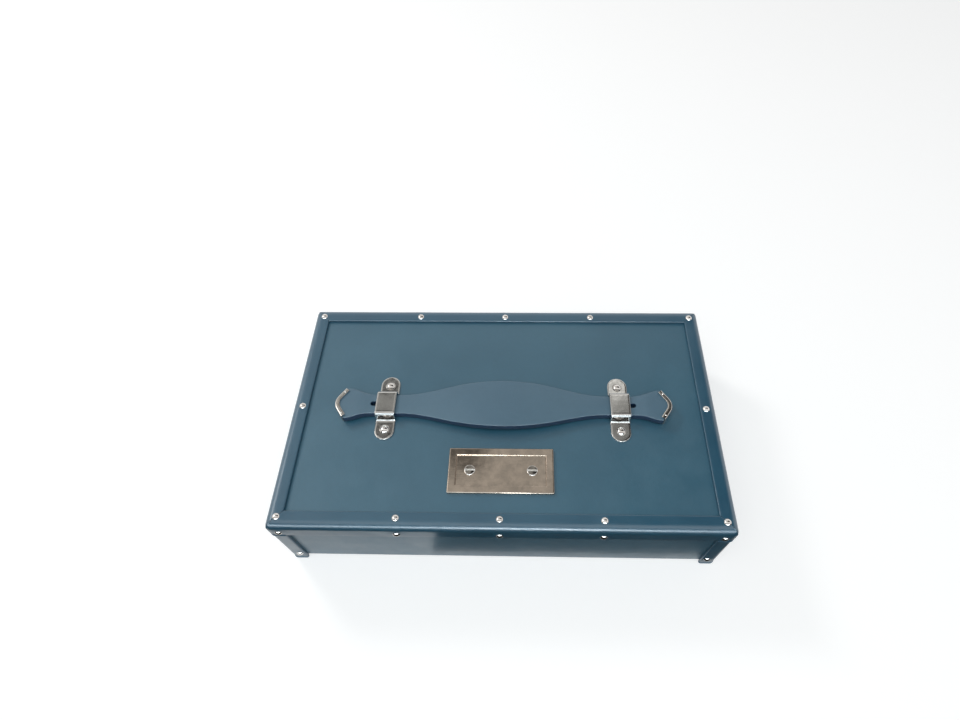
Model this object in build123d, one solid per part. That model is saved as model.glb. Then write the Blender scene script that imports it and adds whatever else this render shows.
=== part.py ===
from build123d import *
import os

# Stationery box with a full-depth lift-off lid over an open tray, in millimetres.
# X runs along the front, Y from front to back, Z up. The origin is on the table, under the
# middle of the box.

# ---- driving dimensions -------------------------------------------------------------------

# Lid, measured over the leather bindings
lid_width = 360.0
lid_depth = 210.0
lid_top = 80.0
rim_gap = 1.0

# Lid build-up, from the outside in
binding_thickness = 2.6
leather_thickness = 1.6
lid_board_thickness = 5.0
lining_thickness = 0.8

# Edge bindings: an L of leather on every top edge, and one down every corner
binding_bend_radius = 3.8
binding_top_width = 13.3
binding_side_drop = 19.0
corner_binding_width = 12.2

# Domed studs that hold the bindings, on square shanks
stud_diameter = 6.4
stud_dome_height = 1.9
stud_shank_width = 1.4
stud_shank_length = 6.4
stud_point_length = 1.4
stud_point_width = 0.4
stud_edge_inset = 8.5
stud_side_drop = 12.2
stud_foot_height = 11.5
stud_middle_spacing = 79.6

# Fits between nails, screws, pins and what they are driven into
pilot_clearance = 0.05

# Tray that stays on the table when the lid is lifted
lid_play = 0.8
tray_cover_thickness = 0.8
tray_board_thickness = 4.0
base_board_thickness = 5.0
base_felt_thickness = 1.0
base_felt_inset = 3.0
floor_pad_thickness = 1.6

# Handle strap, seen from above: wide in the middle, narrow at the loops, flared at its ends.
# A reach is how far a curve runs on before it turns away from its straight.
strap_thickness = 7.0
strap_middle_width = 43.2
strap_middle_reach = 42.0
strap_neck_width = 17.8
strap_neck_inner_x = 88.0
strap_neck_reach = 30.0
strap_end_width = 28.6
strap_end_x = 133.0
strap_flare_start_reach = 15.0
strap_flare_end_reach = 8.0
strap_point_x = 143.0
strap_point_radius = 7.5

# Handle strap, seen from the front: it bows up between the loops and at its ends
strap_lift_off_panel = 0.4
strap_middle_bow = 3.5
strap_bow_reach = 34.0
strap_end_bow = 1.5
strap_end_bow_reach = 6.0
strap_flat_end_length = 20.0

# Slots in the strap, and the pins that pass through them
loop_x = 98.6
pin_diameter = 4.0
pin_offset_in_loop = 3.4
pin_depth_in_board = 4.0
slot_side_clearance = 0.3
handle_slide = 8.0

# Saddle loops over the strap
loop_metal = 1.3
loop_width = 16.6
loop_length = 60.6
loop_side_clearance = 0.8
loop_top_clearance = 1.5
loop_wall_lean = 1.8
loop_bend_radius = 2.8
loop_foot_radius = 1.0
loop_edge_bevel = 0.35

# Dome-headed nails in the loops' tabs
loop_nail_diameter = 8.4
loop_nail_dome_height = 2.4
loop_nail_shank_diameter = 2.2
loop_nail_shank_length = 6.6
loop_nail_point_length = 1.6
loop_nail_y = 20.8

# Metal channels round the strap's pointed ends
tip_metal = 0.8
tip_grip = 2.8
tip_clearance = 0.3
tip_bend_radius = 1.1
tip_end_margin = 1.4

# Label plate with a raised border, and its two slotted screws
label_width = 84.4
label_depth = 38.0
label_centre_y = -56.8
label_border = 6.6
label_thickness = 2.6
label_recess_depth = 1.3
label_corner_radius = 0.8
label_outer_bevel = 0.7
label_recess_taper = 20.0
screw_x = 25.0
screw_head_diameter = 8.8
screw_head_height = 2.0
screw_slot_width = 1.4
screw_slot_depth = 1.0
screw_shank_diameter = 2.6
screw_shank_length = 6.0
screw_point_length = 2.0

# ---- worked out from them -----------------------------------------------------------------

half_width = lid_width / 2
half_depth = lid_depth / 2

# Height of the leather panel on top, and outer faces of the leather, boards and lining
panel_z = lid_top - binding_thickness
board_top_z = panel_z - leather_thickness
board_under_z = board_top_z - lid_board_thickness
lining_under_z = board_under_z - lining_thickness

leather_inset = binding_thickness
board_inset = leather_inset + leather_thickness
lining_inset = board_inset + lid_board_thickness
lid_hollow_inset = lining_inset + lining_thickness

# Tray: its outer cover runs with play inside the lid, and the lid rests on its walls
tray_cover_inset = lid_hollow_inset + lid_play
tray_board_inset = tray_cover_inset + tray_cover_thickness
tray_lining_inset = tray_board_inset + tray_board_thickness
base_board_z = base_felt_thickness
tray_floor_z = base_board_z + base_board_thickness
pad_top_z = tray_floor_z + floor_pad_thickness
tray_top_z = lining_under_z
tray_wall_top_z = tray_top_z - tray_cover_thickness

# Handle
strap_bottom_z = panel_z + strap_lift_off_panel
strap_end_z = strap_bottom_z + strap_end_bow
strap_flat_start_x = strap_point_x - strap_flat_end_length
pin_x = loop_x + pin_offset_in_loop
slot_width = pin_diameter + 2 * slot_side_clearance
slot_inner_x = pin_x
slot_outer_x = pin_x + handle_slide
loop_inner_half = strap_neck_width / 2 + loop_side_clearance
loop_inner_z = strap_bottom_z + strap_thickness + loop_top_clearance
loop_top_z = loop_inner_z + loop_metal
loop_inner_x = loop_x - loop_width / 2
loop_outer_x = loop_x + loop_width / 2

SIDES = ("front", "back", "left", "right")
CORNERS = {
    "front_left": (-1, -1),
    "front_right": (1, -1),
    "back_left": (-1, 1),
    "back_right": (1, 1),
}


# ---- shared shapes ------------------------------------------------------------------------

def block(low, high):
    """A box between its lowest and highest corners."""
    size = [b - a for a, b in zip(low, high)]
    centre = [(a + b) / 2 for a, b in zip(low, high)]
    return Pos(*centre) * Box(*size)


def inset_block(inset, bottom, top):
    """A box over the whole plan of the lid, drawn in by an inset on all four sides."""
    x = half_width - inset
    y = half_depth - inset
    return block((-x, -y, bottom), (x, y, top))


def wall(side, inset, thickness, bottom, top):
    """One upright wall: the front and back run full length, and the sides fit between them."""
    inner = inset + thickness
    if side in ("front", "back"):
        sign = -1 if side == "front" else 1
        near, far = sorted((sign * (half_depth - inset), sign * (half_depth - inner)))
        x = half_width - inset
        return block((-x, near, bottom), (x, far, top))
    sign = -1 if side == "left" else 1
    near, far = sorted((sign * (half_width - inset), sign * (half_width - inner)))
    y = half_depth - inner
    return block((near, -y, bottom), (far, y, top))


def level_ease(start, end, start_reach, end_reach):
    """An S-shaped curve between two points that leaves and arrives level."""
    direction = 1 if end[0] > start[0] else -1
    leave = (start[0] + direction * start_reach, start[1])
    arrive = (end[0] - direction * end_reach, end[1])
    return Bezier(start, leave, arrive, end)


def dome(diameter, height):
    """The head of a nail or screw: a slice of a ball, with its flat underside at the origin."""
    ball_radius = (diameter ** 2 / 4 + height ** 2) / (2 * height)
    ball = Pos(0, 0, height - ball_radius) * Sphere(ball_radius)
    return split(ball, bisect_by=Plane.XY, keep=Keep.TOP)


def round_shank(diameter, length, point_length):
    """A round shank below the origin, with a sharp point."""
    straight = length - point_length
    shank = Pos(0, 0, -straight / 2) * Cylinder(diameter / 2, straight)
    point = Pos(0, 0, -straight - point_length / 2) * Cone(0, diameter / 2, point_length)
    return shank + point


def square_shank(width, length, point_length, point_width):
    """A square shank below the origin that narrows to a blunt point."""
    straight = length - point_length
    shank = Pos(0, 0, -straight / 2) * Box(width, width, straight)
    root = Pos(0, 0, -straight) * Rectangle(width, width)
    tip = Pos(0, 0, -length) * Rectangle(point_width, point_width)
    return shank + loft([root.face(), tip.face()], ruled=True)


def open_above(shank, height):
    """The hole for a shank, cut on upwards past whatever lies on top."""
    mouth = shank.faces().sort_by(Axis.Z)[-1]
    return shank + extrude(mouth, height)


def placed(shape, planes):
    """Copies of one shape, one on each plane."""
    return [plane.location * shape for plane in planes]


def drilled(piece, holes):
    """A piece with every hole that reaches it cut out."""
    outside = piece.bounding_box()
    for hole in holes:
        if outside.overlaps(hole.bounding_box()):
            piece = piece - hole
    return piece


# ---- studs, nails, screws and the holes they are driven into -------------------------------

def stud_planes(side):
    """Where the studs of one face sit: on the binding, looking straight out of the face."""
    corner_x = half_width - stud_edge_inset
    corner_y = half_depth - stud_edge_inset
    row = (-corner_x, -stud_middle_spacing, 0, stud_middle_spacing, corner_x)
    band_z = lid_top - stud_side_drop
    foot_z = rim_gap + stud_foot_height
    if side == "top":
        spots = [(x, y) for y in (-corner_y, corner_y) for x in row]
        spots += [(-corner_x, 0), (corner_x, 0)]
        return [Plane(origin=(x, y, lid_top), z_dir=(0, 0, 1)) for x, y in spots]
    if side in ("front", "back"):
        out = -1 if side == "front" else 1
        spots = [(x, band_z) for x in row] + [(-corner_x, foot_z), (corner_x, foot_z)]
        return [Plane(origin=(x, out * half_depth, z), z_dir=(0, out, 0)) for x, z in spots]
    out = -1 if side == "left" else 1
    spots = [(y, band_z) for y in (-corner_y, 0, corner_y)]
    spots += [(-corner_y, foot_z), (corner_y, foot_z)]
    return [Plane(origin=(out * half_width, y, z), z_dir=(out, 0, 0)) for y, z in spots]


def loop_nail_planes(side):
    """The two nails of one loop, on the flat of its tabs."""
    x = -loop_x if side == "left" else loop_x
    z = panel_z + loop_metal
    return [Plane(origin=(x, y, z), z_dir=(0, 0, 1)) for y in (-loop_nail_y, loop_nail_y)]


def screw_planes():
    """The two screws of the label plate, on the floor of its recess."""
    z = panel_z + label_thickness - label_recess_depth
    return [Plane(origin=(x, label_centre_y, z), z_dir=(0, 0, 1)) for x in (-screw_x, screw_x)]


def pin_planes():
    """The two pins under the loops, at the surface of the leather."""
    return [Plane(origin=(x, 0, panel_z), z_dir=(0, 0, 1)) for x in (-pin_x, pin_x)]


def stud():
    shank = square_shank(stud_shank_width, stud_shank_length, stud_point_length, stud_point_width)
    return dome(stud_diameter, stud_dome_height) + shank


def stud_hole():
    around = 2 * pilot_clearance
    hole = square_shank(
        stud_shank_width + around,
        stud_shank_length + pilot_clearance,
        stud_point_length,
        stud_point_width + around,
    )
    return open_above(hole, stud_shank_length)


def loop_nail():
    shank = round_shank(loop_nail_shank_diameter, loop_nail_shank_length, loop_nail_point_length)
    return dome(loop_nail_diameter, loop_nail_dome_height) + shank


def label_screw():
    """A raised-head screw with a slot along X."""
    head = dome(screw_head_diameter, screw_head_height)
    slot = block(
        (-screw_head_diameter, -screw_slot_width / 2, screw_head_height - screw_slot_depth),
        (screw_head_diameter, screw_slot_width / 2, screw_head_height),
    )
    shank = round_shank(screw_shank_diameter, screw_shank_length, screw_point_length)
    return head - slot + shank


def round_hole(shank_diameter, shank_length, point_length):
    """The hole for a round shank, open above it."""
    hole = round_shank(
        shank_diameter + 2 * pilot_clearance, shank_length + pilot_clearance, point_length
    )
    return open_above(hole, shank_length)


def pin_hole():
    """The hole for a pin, through the leather and into the board."""
    depth = leather_thickness + pin_depth_in_board + pilot_clearance
    radius = pin_diameter / 2 + pilot_clearance
    return open_above(Pos(0, 0, -depth / 2) * Cylinder(radius, depth), leather_thickness)


def lid_holes():
    """Every hole that nails, screws and pins need in the lid's boards, leather and trim."""
    nail_hole = round_hole(loop_nail_shank_diameter, loop_nail_shank_length, loop_nail_point_length)
    screw_hole = round_hole(screw_shank_diameter, screw_shank_length, screw_point_length)
    holes = []
    for side in ("top",) + SIDES:
        holes += placed(stud_hole(), stud_planes(side))
    for side in ("left", "right"):
        holes += placed(nail_hole, loop_nail_planes(side))
    holes += placed(screw_hole, screw_planes())
    holes += placed(pin_hole(), pin_planes())
    return holes


# ---- lid ----------------------------------------------------------------------------------

def lid_top_board():
    return inset_block(board_inset, board_under_z, board_top_z)


def lid_side_board(side):
    return wall(side, board_inset, lid_board_thickness, rim_gap, board_under_z)


def lid_top_leather():
    return inset_block(leather_inset, board_top_z, panel_z)


def lid_side_leather(side):
    return wall(side, leather_inset, leather_thickness, rim_gap, board_top_z)


def lid_top_lining():
    return inset_block(lining_inset, lining_under_z, board_under_z)


def lid_side_lining(side):
    return wall(side, lining_inset, lining_thickness, rim_gap, lining_under_z)


def binding_shell():
    """Leather as thick as a binding over the top and all sides, rounded along every outer edge."""
    outside = inset_block(0, rim_gap, lid_top)
    outside = fillet(outside.edges().filter_by(Axis.Z), binding_bend_radius)
    outside = fillet(outside.faces().sort_by(Axis.Z)[-1].edges(), binding_bend_radius)
    return outside - inset_block(leather_inset, 0, panel_z)


def top_binding(side, shell):
    """The L along one top edge, mitred where it meets its neighbours at the corners."""
    band = shell & inset_block(0, lid_top - binding_side_drop, lid_top)
    band = band - inset_block(binding_top_width, panel_z, lid_top)
    sign = -1 if side in ("front", "left") else 1
    ridge = half_width - half_depth
    if side in ("front", "back"):
        outline = (
            (-half_width, sign * half_depth),
            (half_width, sign * half_depth),
            (ridge, 0),
            (-ridge, 0),
        )
    else:
        outline = (
            (sign * half_width, -half_depth),
            (sign * half_width, half_depth),
            (sign * ridge, 0),
        )
    plan = make_face(Polyline(*outline, close=True))
    return band & extrude(plan, lid_top)


def corner_binding(corner, shell):
    """The L down one corner, from the top bindings to the lid's rim."""
    x_sign, y_sign = CORNERS[corner]
    x_near, x_far = sorted((x_sign * half_width, x_sign * (half_width - corner_binding_width)))
    y_near, y_far = sorted((y_sign * half_depth, y_sign * (half_depth - corner_binding_width)))
    top = lid_top - binding_side_drop
    return shell & block((x_near, y_near, rim_gap), (x_far, y_far, top))


# ---- tray ---------------------------------------------------------------------------------

def base_felt():
    return inset_block(tray_cover_inset + base_felt_inset, 0, base_felt_thickness)


def base_board():
    return inset_block(tray_board_inset, base_board_z, tray_floor_z)


def tray_wall(side):
    return wall(side, tray_board_inset, tray_board_thickness, tray_floor_z, tray_wall_top_z)


def tray_cover():
    """Leather wrapped round the outside of the tray and turned over the tops of its walls."""
    outside = inset_block(tray_cover_inset, base_board_z, tray_top_z)
    boards = inset_block(tray_board_inset, base_board_z, tray_wall_top_z)
    mouth = inset_block(tray_lining_inset, base_board_z, tray_top_z)
    return outside - boards - mouth


def tray_lining(side):
    return wall(side, tray_lining_inset, lining_thickness, pad_top_z, tray_top_z)


def tray_floor_pad():
    return inset_block(tray_lining_inset, tray_floor_z, pad_top_z)


# ---- handle -------------------------------------------------------------------------------

def strap_plan():
    """The strap's outline from above, one half at a time, less the slots for the pins."""
    middle = strap_middle_width / 2
    neck = strap_neck_width / 2
    end = strap_end_width / 2
    with BuildSketch() as plan:
        for x_sign in (-1, 1):
            with BuildSketch(mode=Mode.ADD):
                with BuildLine():
                    for y_sign in (-1, 1):
                        middle_point = (0, y_sign * middle)
                        neck_start = (x_sign * strap_neck_inner_x, y_sign * neck)
                        neck_end = (x_sign * loop_outer_x, y_sign * neck)
                        end_corner = (x_sign * strap_end_x, y_sign * end)
                        level_ease(
                            middle_point, neck_start, strap_middle_reach, strap_neck_reach
                        )
                        Line(neck_start, neck_end)
                        level_ease(
                            neck_end, end_corner, strap_flare_start_reach, strap_flare_end_reach
                        )
                    FilletPolyline(
                        (x_sign * strap_end_x, -end),
                        (x_sign * strap_point_x, 0),
                        (x_sign * strap_end_x, end),
                        radius=strap_point_radius,
                    )
                    Line((0, -middle), (0, middle))
                make_face()
        slot_middle = (slot_inner_x + slot_outer_x) / 2
        with Locations((-slot_middle, 0), (slot_middle, 0)):
            SlotCenterToCenter(slot_outer_x - slot_inner_x, slot_width, mode=Mode.SUBTRACT)
    return plan.sketch


def strap_edge_line(x_sign, height):
    """The strap's underside from its middle to one end, or its top when raised by its height."""
    middle = (0, strap_bottom_z + strap_middle_bow + height)
    loop_start = (x_sign * loop_inner_x, strap_bottom_z + height)
    loop_end = (x_sign * loop_outer_x, strap_bottom_z + height)
    flat_start = (x_sign * strap_flat_start_x, strap_end_z + height)
    flat_end = (x_sign * strap_point_x, strap_end_z + height)
    level_ease(middle, loop_start, strap_bow_reach, strap_bow_reach)
    Line(loop_start, loop_end)
    level_ease(loop_end, flat_start, strap_end_bow_reach, strap_end_bow_reach)
    Line(flat_start, flat_end)


def handle_strap():
    """The strap's side view carried across it, kept where its outline from above lies."""
    with BuildPart() as side_view:
        with BuildSketch(Plane.XZ):
            with BuildLine():
                for x_sign in (-1, 1):
                    strap_edge_line(x_sign, 0)
                    strap_edge_line(x_sign, strap_thickness)
                    Line(
                        (x_sign * strap_point_x, strap_end_z),
                        (x_sign * strap_point_x, strap_end_z + strap_thickness),
                    )
            make_face()
        extrude(amount=strap_middle_width / 2, both=True)
    outline = Pos(0, 0, strap_bottom_z) * strap_plan()
    return side_view.part & extrude(outline, strap_thickness + strap_middle_bow)


def handle_tip(side):
    """A U-shaped channel swept round the strap's pointed end, over its edge and both faces."""
    sign = -1 if side == "left" else 1
    corner = Vector(strap_end_x, strap_end_width / 2, 0)
    point = Vector(strap_point_x, 0, 0)
    along = (point - corner).normalized()
    start = corner + along * tip_end_margin
    height = Vector(0, 0, strap_end_z + strap_thickness / 2)
    path = FilletPolyline(
        start + height,
        point + height,
        Vector(start.X, -start.Y, 0) + height,
        radius=strap_point_radius,
    )
    outward = Vector(-along.Y, along.X, 0)
    across = Plane(origin=start + height, x_dir=outward, z_dir=along)
    inner = strap_thickness / 2 + tip_clearance
    outer = inner + tip_metal
    web = tip_clearance + tip_metal
    section = make_face(
        Polyline(
            (-tip_grip, -outer),
            (web, -outer),
            (web, outer),
            (-tip_grip, outer),
            (-tip_grip, inner),
            (tip_clearance, inner),
            (tip_clearance, -inner),
            (-tip_grip, -inner),
            close=True,
        )
    )
    outer_corners = section.vertices().filter_by_position(Axis.X, web, web)
    section = across * fillet(outer_corners, tip_bend_radius)
    tip = sweep(section, path=path)
    return tip if sign == 1 else mirror(tip, about=Plane.YZ)


def upper_rim(saddle, upper_line):
    """The edges round a loop's upper face: they run along the line that its upper face follows."""
    rim = []
    for edge in saddle.edges().filter_by(Axis.X, reverse=True):
        middle = edge @ 0.5
        if upper_line.distance_to(Vertex(middle.Y, middle.Z)) < loop_metal / 4:
            rim.append(edge)
    return rim


def handle_loop(side):
    """A strip of metal bent over the strap, with a round-ended tab on each side of it."""
    x = -loop_x if side == "left" else loop_x
    half = loop_length / 2
    shoulder = loop_inner_half + loop_metal
    foot = shoulder + loop_wall_lean
    inner_foot = loop_inner_half + loop_wall_lean
    top_radii = (loop_foot_radius, loop_bend_radius, loop_bend_radius, loop_foot_radius)
    under_radii = (
        loop_foot_radius + loop_metal,
        loop_bend_radius - loop_metal,
        loop_bend_radius - loop_metal,
        loop_foot_radius + loop_metal,
    )
    tab_z = panel_z + loop_metal
    with BuildPart() as bent:
        with BuildSketch(Plane.YZ):
            with BuildLine():
                upper = FilletPolyline(
                    (-half, tab_z),
                    (-foot, tab_z),
                    (-shoulder, loop_top_z),
                    (shoulder, loop_top_z),
                    (foot, tab_z),
                    (half, tab_z),
                    radius=top_radii,
                )
                lower = FilletPolyline(
                    (-half, panel_z),
                    (-inner_foot, panel_z),
                    (-loop_inner_half, loop_inner_z),
                    (loop_inner_half, loop_inner_z),
                    (inner_foot, panel_z),
                    (half, panel_z),
                    radius=under_radii,
                )
                Line(upper @ 0, lower @ 0)
                Line(upper @ 1, lower @ 1)
            make_face()
        extrude(amount=loop_width / 2, both=True)
    plan = Pos(0, 0, panel_z) * SlotOverall(loop_length, loop_width, rotation=90)
    saddle = bent.part & extrude(plan, loop_top_z - panel_z)
    return Pos(x, 0, 0) * chamfer(upper_rim(saddle, upper), loop_edge_bevel)


def handle_pin(side):
    """The pin that the strap's slot slides along, from the board up to the loop."""
    x = -pin_x if side == "left" else pin_x
    bottom = board_top_z - pin_depth_in_board
    height = loop_inner_z - bottom
    return Pos(x, 0, bottom + height / 2) * Cylinder(pin_diameter / 2, height)


# ---- label plate --------------------------------------------------------------------------

def label_plate():
    """A plate with a bevelled border raised round a flat, bare floor."""
    outline = RectangleRounded(label_width, label_depth, label_corner_radius)
    plate = extrude(outline, label_thickness)
    plate = chamfer(plate.faces().sort_by(Axis.Z)[-1].edges(), label_outer_bevel)
    floor = Pos(0, 0, label_thickness - label_recess_depth) * Rectangle(
        label_width - 2 * label_border, label_depth - 2 * label_border
    )
    plate = plate - extrude(floor, label_recess_depth, taper=-label_recess_taper)
    return Pos(0, label_centre_y, panel_z) * plate


# ---- all nodes ----------------------------------------------------------------------------

def build_lid(nodes, holes):
    nodes["lid_top_board"] = drilled(lid_top_board(), holes)
    nodes["lid_top_leather"] = drilled(lid_top_leather(), holes)
    nodes["lid_top_lining"] = lid_top_lining()
    for side in SIDES:
        nodes[f"lid_{side}_board"] = drilled(lid_side_board(side), holes)
        nodes[f"lid_{side}_leather"] = drilled(lid_side_leather(side), holes)
        nodes[f"lid_{side}_lining"] = lid_side_lining(side)
    shell = drilled(binding_shell(), holes)
    for side in SIDES:
        nodes[f"top_binding_{side}"] = top_binding(side, shell)
    for corner in CORNERS:
        nodes[f"corner_binding_{corner}"] = corner_binding(corner, shell)
    for side in ("top",) + SIDES:
        nodes[f"studs_{side}"] = Compound(children=placed(stud(), stud_planes(side)))


def build_handle(nodes, holes):
    nodes["handle_strap"] = handle_strap()
    for side in ("left", "right"):
        nodes[f"handle_tip_{side}"] = handle_tip(side)
        nodes[f"handle_loop_{side}"] = drilled(handle_loop(side), holes)
        nodes[f"handle_pin_{side}"] = handle_pin(side)
        nails = placed(loop_nail(), loop_nail_planes(side))
        nodes[f"loop_nails_{side}"] = Compound(children=nails)


def build_label(nodes, holes):
    nodes["label_plate"] = drilled(label_plate(), holes)
    nodes["label_screws"] = Compound(children=placed(label_screw(), screw_planes()))


def build_tray(nodes):
    nodes["base_felt"] = base_felt()
    nodes["base_board"] = base_board()
    nodes["tray_cover"] = tray_cover()
    nodes["tray_floor_pad"] = tray_floor_pad()
    for side in SIDES:
        nodes[f"tray_{side}_wall"] = tray_wall(side)
        nodes[f"tray_{side}_lining"] = tray_lining(side)


nodes = {}
holes = lid_holes()
build_lid(nodes, holes)
build_handle(nodes, holes)
build_label(nodes, holes)
build_tray(nodes)

os.makedirs("parts", exist_ok=True)
for name, shape in nodes.items():
    shape.label = name
    export_step(shape, f"parts/{name}.step")
print(f"{len(nodes)} nodes")
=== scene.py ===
import bpy
import bmesh
import math
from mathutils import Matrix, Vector, noise


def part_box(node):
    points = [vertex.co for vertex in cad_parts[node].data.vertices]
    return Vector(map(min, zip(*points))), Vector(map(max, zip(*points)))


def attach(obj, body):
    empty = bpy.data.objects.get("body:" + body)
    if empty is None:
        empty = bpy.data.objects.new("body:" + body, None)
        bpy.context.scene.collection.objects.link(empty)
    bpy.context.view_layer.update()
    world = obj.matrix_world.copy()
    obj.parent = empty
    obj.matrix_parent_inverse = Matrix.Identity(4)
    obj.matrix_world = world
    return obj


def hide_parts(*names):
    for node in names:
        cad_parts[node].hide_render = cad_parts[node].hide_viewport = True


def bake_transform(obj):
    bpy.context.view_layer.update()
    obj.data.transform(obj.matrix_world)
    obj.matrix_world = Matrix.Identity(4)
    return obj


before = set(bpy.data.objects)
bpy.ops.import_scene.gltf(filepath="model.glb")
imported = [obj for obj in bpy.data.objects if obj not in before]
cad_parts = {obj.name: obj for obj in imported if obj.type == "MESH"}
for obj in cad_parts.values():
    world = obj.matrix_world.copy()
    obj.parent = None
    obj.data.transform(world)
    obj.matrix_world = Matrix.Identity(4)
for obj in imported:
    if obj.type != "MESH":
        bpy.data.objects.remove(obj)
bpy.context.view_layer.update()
mm = 0.001

# ---- camera, floor and studio ----------------------------------------------------------------
# The box stands on a pale studio floor, and the camera looks down on its front from arm's length.
# The key lamp is behind it on the left, and a large soft lamp hangs above the camera. Leather and
# metal mirror a room of plain cards that nothing else sees, and beyond them the white studio.

scene = bpy.context.scene
scene.view_settings.view_transform = "Standard"

photo_width_px = 960
focal_length_px = 597.7
principal_point_px = (28.1, -13.2)
sensor_width = 36.0

camera_data = bpy.data.cameras.new("camera")
camera_data.sensor_fit = "HORIZONTAL"
camera_data.sensor_width = sensor_width
camera_data.lens = sensor_width * focal_length_px / photo_width_px
camera_data.shift_x = -principal_point_px[0] / photo_width_px
camera_data.shift_y = principal_point_px[1] / photo_width_px
camera_data.clip_start = 10 * mm
camera = bpy.data.objects.new("camera", camera_data)
camera.location = (17.8 * mm, -246.8 * mm, 526.8 * mm)
camera_turn_degrees = (34.72, 1.07, 1.12)
camera.rotation_euler = [math.radians(angle) for angle in camera_turn_degrees]
scene.collection.objects.link(camera)
scene.camera = camera


def soft_lamp(name, place, width, height, power, tint):
    """A soft lamp that faces the box. Mirrors don't show it: they show the cards below."""
    data = bpy.data.lights.new(name, "AREA")
    data.shape = "RECTANGLE"
    data.size = width
    data.size_y = height
    data.energy = power
    data.color = tint
    lamp = bpy.data.objects.new(name, data)
    lamp.location = place
    lamp.rotation_euler = (-Vector(place)).to_track_quat("-Z", "Y").to_euler()
    lamp.visible_glossy = False
    scene.collection.objects.link(lamp)


key_power = 10.5
window_power = 14.0
soft_lamp("key_lamp", (-1.1, 0.95, 1.25), 0.4, 0.4, key_power, (1.0, 0.99, 0.965))
soft_lamp("window_lamp", (-0.05, -0.6, 1.55), 1.7, 1.0, window_power, (0.90, 0.98, 1.0))


def settle(tree, node, values):
    """Set inputs of a node, each to a number, a vector, a colour or another node's output."""
    for name, value in values.items():
        socket = node.inputs[name]
        if isinstance(value, bpy.types.NodeSocket):
            tree.links.new(value, socket)
        elif socket.type == "RGBA":
            socket.default_value = (*value, 1)
        else:
            socket.default_value = value


def combined(tree, operation, first, second):
    """Two values put together, each a number or another node's output."""
    math_node = tree.nodes.new("ShaderNodeMath")
    math_node.operation = operation
    settle(tree, math_node, {0: first, 1: second})
    return math_node.outputs[0]


def in_sight(tree):
    """1 where the camera or a mirror sees a surface, and 0 where it only lights things."""
    path = tree.nodes.new("ShaderNodeLightPath")
    rays = combined(tree, "MAXIMUM", path.outputs["Is Camera Ray"], path.outputs["Is Glossy Ray"])
    return combined(tree, "MAXIMUM", rays, path.outputs["Is Transmission Ray"])


def blended(tree, share, first, second):
    """A mix of two colours, each a colour or another node's output."""
    mix = tree.nodes.new("ShaderNodeMix")
    mix.data_type = "RGBA"
    settle(tree, mix, {"Factor": share, "A": first, "B": second})
    return mix.outputs["Result"]


sky_light = 0.33
white = (1.0, 1.0, 1.0)

world = bpy.data.worlds.new("studio")
world.use_nodes = True
scene.world = world
sky = world.node_tree
sky.nodes.clear()
sky_shader = sky.nodes.new("ShaderNodeBackground")
settle(sky, sky_shader, {"Color": blended(sky, in_sight(sky), (sky_light,) * 3, white)})
sky_output = sky.nodes.new("ShaderNodeOutputWorld")
settle(sky, sky_output, {"Surface": sky_shader.outputs["Background"]})


def new_material(name):
    """A material, its node tree and its main shader."""
    material = bpy.data.materials.new(name)
    material.use_nodes = True
    return material, material.node_tree, material.node_tree.nodes["Principled BSDF"]


def noise_field(tree, size, detail=3.0, roughness=0.5, stretch=(1, 1, 1)):
    """A noise of this feature size in metres, drawn out along the axes by stretch."""
    place = tree.nodes.new("ShaderNodeTexCoord")
    mapping = tree.nodes.new("ShaderNodeMapping")
    scale = [1 / (size * factor) for factor in stretch]
    settle(tree, mapping, {"Vector": place.outputs["Object"], "Scale": scale})
    field = tree.nodes.new("ShaderNodeTexNoise")
    settle(tree, field, {"Vector": mapping.outputs["Vector"], "Scale": 1.0})
    settle(tree, field, {"Detail": detail, "Roughness": roughness})
    return field.outputs["Fac"]


def spread(tree, value, low, high, to_low=0.0, to_high=1.0):
    """A value stretched from one range to another, and held at its ends."""
    ranged = tree.nodes.new("ShaderNodeMapRange")
    settle(tree, ranged, {"Value": value, "From Min": low, "From Max": high})
    settle(tree, ranged, {"To Min": to_low, "To Max": to_high})
    return ranged.outputs["Result"]


# To the camera and in mirrors the floor glows a little, so that it is white out to the picture's
# edge and only the box's shadow shows on it. It lights the box as grey paper would.
floor_glow = 0.55
floor_grey = 0.72
floor_paper, floor_tree, floor_shader = new_material("studio_floor")
seen = in_sight(floor_tree)
paper = blended(floor_tree, seen, (floor_grey,) * 3, (floor_glow,) * 3)
glow = combined(floor_tree, "MULTIPLY", seen, floor_glow)
settle(floor_tree, floor_shader, {"Emission Color": white, "Emission Strength": glow})
settle(floor_tree, floor_shader, {"Base Color": paper, "Roughness": 0.9, "Specular IOR Level": 0.1})


def studio_plane(name, low, high, material):
    """A flat four-sided surface between two corners: level, or upright where it faces front."""
    across = (high[0], low[1], low[2])
    over = (low[0], high[1], high[2])
    mesh = bpy.data.meshes.new(name)
    mesh.from_pydata([low, across, high, over], [], [(0, 1, 2, 3)])
    mesh.materials.append(material)
    plane = bpy.data.objects.new(name, mesh)
    scene.collection.objects.link(plane)
    return plane


# The ceiling is dimmer past a slanting edge on its right
slant = (1, -0.5, 0)
slant_start, slant_end = -0.16, 0.10
darkest = 0.02


def measured(tree, operation, other):
    """The distance, or the dot product, of each point of a surface with a given vector."""
    place = tree.nodes.new("ShaderNodeTexCoord")
    measure = tree.nodes.new("ShaderNodeVectorMath")
    measure.operation = operation
    settle(tree, measure, {0: place.outputs["Object"], 1: other})
    return measure.outputs["Value"]


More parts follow.
